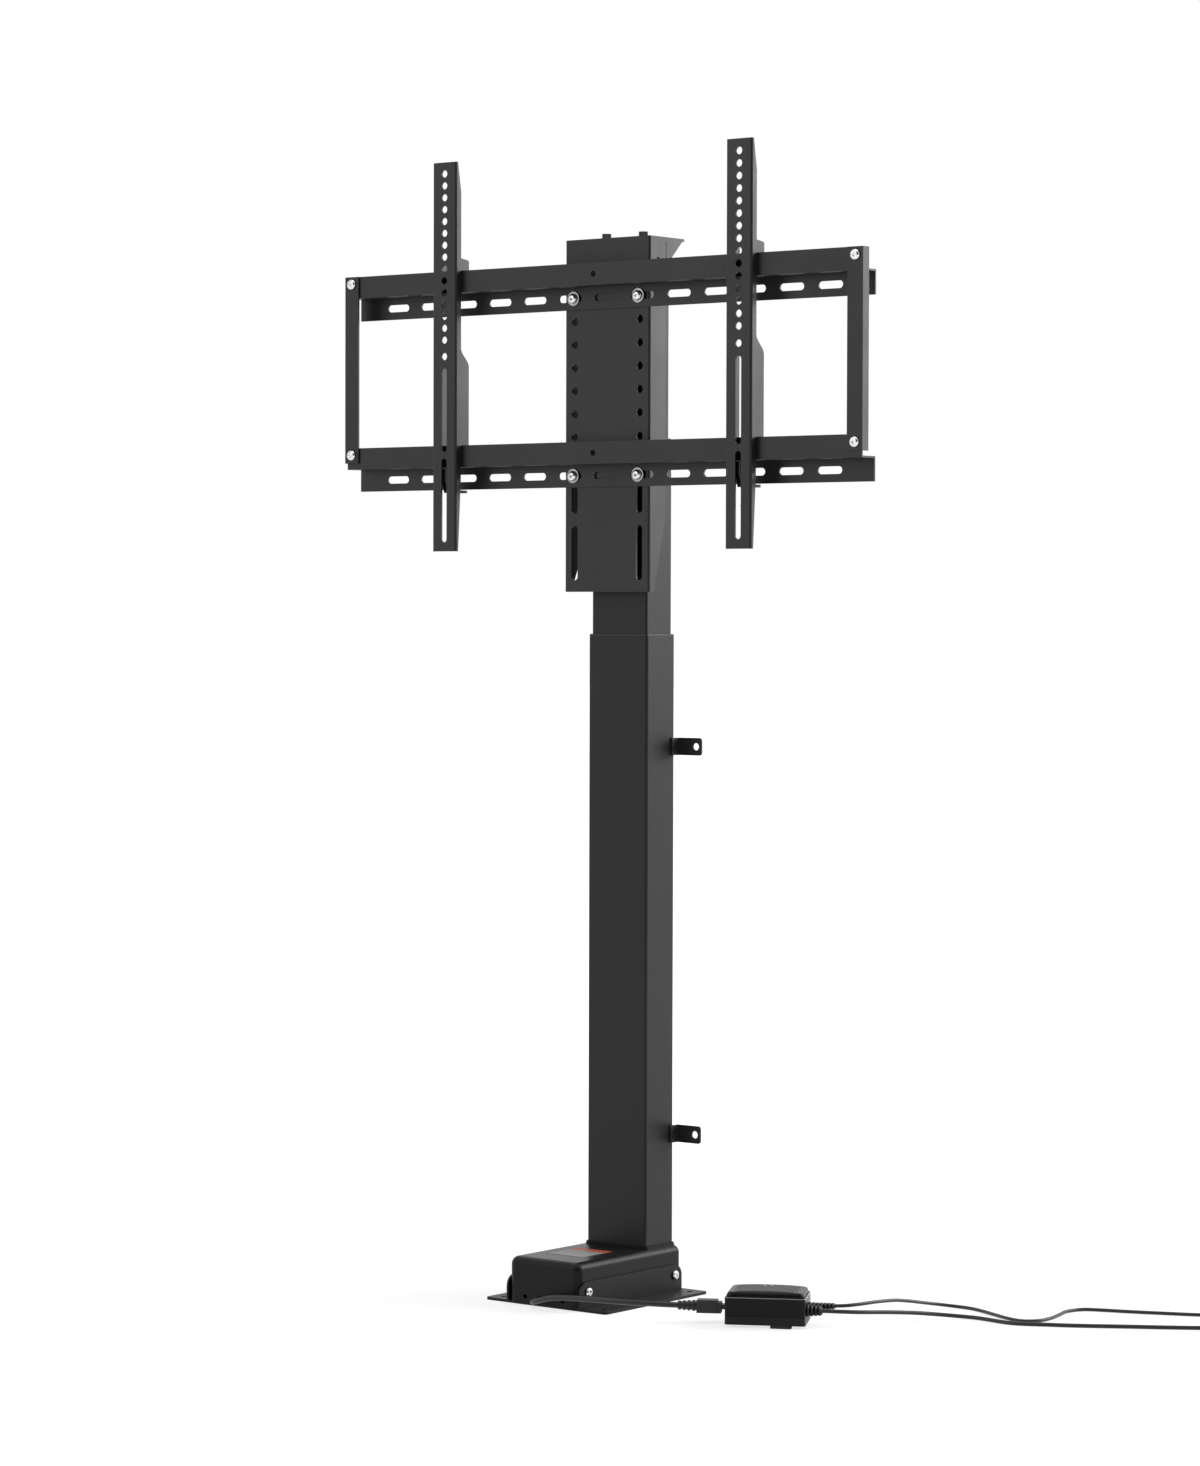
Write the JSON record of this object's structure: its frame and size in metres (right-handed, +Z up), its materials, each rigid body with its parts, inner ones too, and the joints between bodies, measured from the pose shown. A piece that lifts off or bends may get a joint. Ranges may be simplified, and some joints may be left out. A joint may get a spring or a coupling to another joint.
{
  "type": "tv lift mechanism",
  "caption": "Floor-standing motorised lift: a telescopic column on a base plate raises a folded bracket with slotted rails and hooked perforated arms; control box on cords.",
  "frame": {"origin": "on the floor, under the column's axis", "axes": "+X along the rails to the viewer's right, +Y from front to back, +Z up the column"},
  "size_m": [1.0886, 0.4862, 1.2326],
  "materials": {
    "powder_coat": "satin black powder coat",
    "gloss_black_paint": "glossy black",
    "column_paint": "semi-gloss black",
    "black_oxide": "black oxide",
    "chrome": "polished",
    "zinc_steel": "zinc plated",
    "ground_steel": "ground",
    "brass": "machined",
    "cast_metal": "as cast",
    "white_nylon": "moulded",
    "black_plastic": "moulded, fine grain",
    "box_plastic": "fine-textured",
    "circuit_board": "solder mask",
    "cord_jacket": "smooth flexible jacket",
    "rubber": "matt"
  },
  "bodies": {
    "base": {"base_plate": "powder_coat", "side_plates": "powder_coat", "motor_cover": "gloss_black_paint", "cover_screws": "chrome", "motor_can": "zinc_steel", "motor_end_cap": "black_plastic", "gear_housing_lower": "cast_metal", "gear_housing_upper": "cast_metal", "gearbox_screws": "zinc_steel", "gearbox_bearings": "zinc_steel", "outer_tube": "column_paint", "outer_sleeve": "black_plastic", "wall_tabs": "powder_coat", "cable_grommet": "rubber", "box_tray": "box_plastic", "box_lid": "box_plastic", "box_feet": "rubber", "control_board": "circuit_board", "lead_connector": "black_plastic", "motor_lead": "cord_jacket", "cord_reliefs": "black_plastic", "power_cord": "cord_jacket", "power_coil": "cord_jacket", "power_plug": "black_plastic", "plug_blades": "brass", "sensor_cord": "cord_jacket", "sensor_coil": "cord_jacket", "sensor_eye": "black_plastic", "coil_ties": "rubber"},
    "lower_screw": {"lower_spindle": "ground_steel", "worm_wheel": "brass"},
    "worm": {"worm_shaft": "ground_steel"},
    "middle_stage": {"middle_tube": "column_paint", "middle_sleeve": "black_plastic", "middle_glide_band": "white_nylon", "middle_nut_block": "white_nylon", "lower_nut": "brass", "gear_plate": "zinc_steel", "gear_posts": "zinc_steel"},
    "stage_gear": {"drive_gear": "ground_steel"},
    "upper_screw": {"upper_spindle": "ground_steel", "upper_gear": "ground_steel"},
    "inner_stage": {"inner_tube": "column_paint", "inner_glide_band": "white_nylon", "inner_nut_block": "white_nylon", "upper_nut": "brass", "inner_top_block": "cast_metal", "tv_bracket": "powder_coat", "bracket_screws": "black_oxide", "upper_rail": "powder_coat", "lower_rail": "powder_coat", "end_bars": "powder_coat", "end_bar_screws": "chrome", "rail_bolts": "chrome", "rail_washers": "chrome", "rail_nuts": "zinc_steel"},
    "left_hanger": {"left_arm": "powder_coat"},
    "right_hanger": {"right_arm": "powder_coat"},
    "left_catch": {"left_arm_lock": "black_oxide"},
    "right_catch": {"right_arm_lock": "black_oxide"}
  },
  "joints": [
    {"name": "middle_slide", "type": "slide", "parent": "base", "child": "middle_stage", "axis": [0, 0, 1], "range_m": [-0.209, 0.141]},
    {"name": "inner_slide", "type": "slide", "parent": "middle_stage", "child": "inner_stage", "axis": [0, 0, 1], "range_m": [-0.209, 0.141]},
    {"name": "lower_screw_spin", "type": "hinge", "parent": "base", "child": "lower_screw", "pos_m": [-0.016, 0, 0], "axis": [0, 0, 1], "range_deg": [-6345, 9405]},
    {"name": "worm_spin", "type": "hinge", "parent": "base", "child": "worm", "pos_m": [0.0045, 0, 0.026], "axis": [0, 1, 0], "range_deg": [-225720, 152280]},
    {"name": "stage_gear_spin", "type": "hinge", "parent": "middle_stage", "child": "stage_gear", "pos_m": [-0.016, 0, 0], "axis": [0, 0, 1], "range_deg": [-6345, 9405]},
    {"name": "upper_screw_spin", "type": "hinge", "parent": "middle_stage", "child": "upper_screw", "pos_m": [0.016, 0, 0], "axis": [0, 0, 1], "range_deg": [-9405, 6345]},
    {"name": "left_arm_slide", "type": "slide", "parent": "inner_stage", "child": "left_hanger", "axis": [1, 0, 0], "range_m": [-0.1, 0.15]},
    {"name": "right_arm_slide", "type": "slide", "parent": "inner_stage", "child": "right_hanger", "axis": [1, 0, 0], "range_m": [-0.15, 0.1]},
    {"name": "left_catch_swing", "type": "hinge", "parent": "left_hanger", "child": "left_catch", "pos_m": [-0.2, -0.0749, 0.8865], "axis": [-1, 0, 0], "range_deg": [0, 12], "stiffness_Nm_per_rad": 0.05, "springref_deg": -17.19},
    {"name": "right_catch_swing", "type": "hinge", "parent": "right_hanger", "child": "right_catch", "pos_m": [0.2, -0.0749, 0.8865], "axis": [-1, 0, 0], "range_deg": [0, 12], "stiffness_Nm_per_rad": 0.05, "springref_deg": -17.19}
  ],
  "couplings": [
    {"joint": "inner_slide", "follows": "middle_slide", "ratio": 1},
    {"joint": "lower_screw_spin", "follows": "middle_slide", "rad_per_m": -785.4},
    {"joint": "worm_spin", "follows": "middle_slide", "rad_per_m": 18850},
    {"joint": "stage_gear_spin", "follows": "middle_slide", "rad_per_m": -785.4},
    {"joint": "upper_screw_spin", "follows": "middle_slide", "rad_per_m": 785.4}
  ]
}
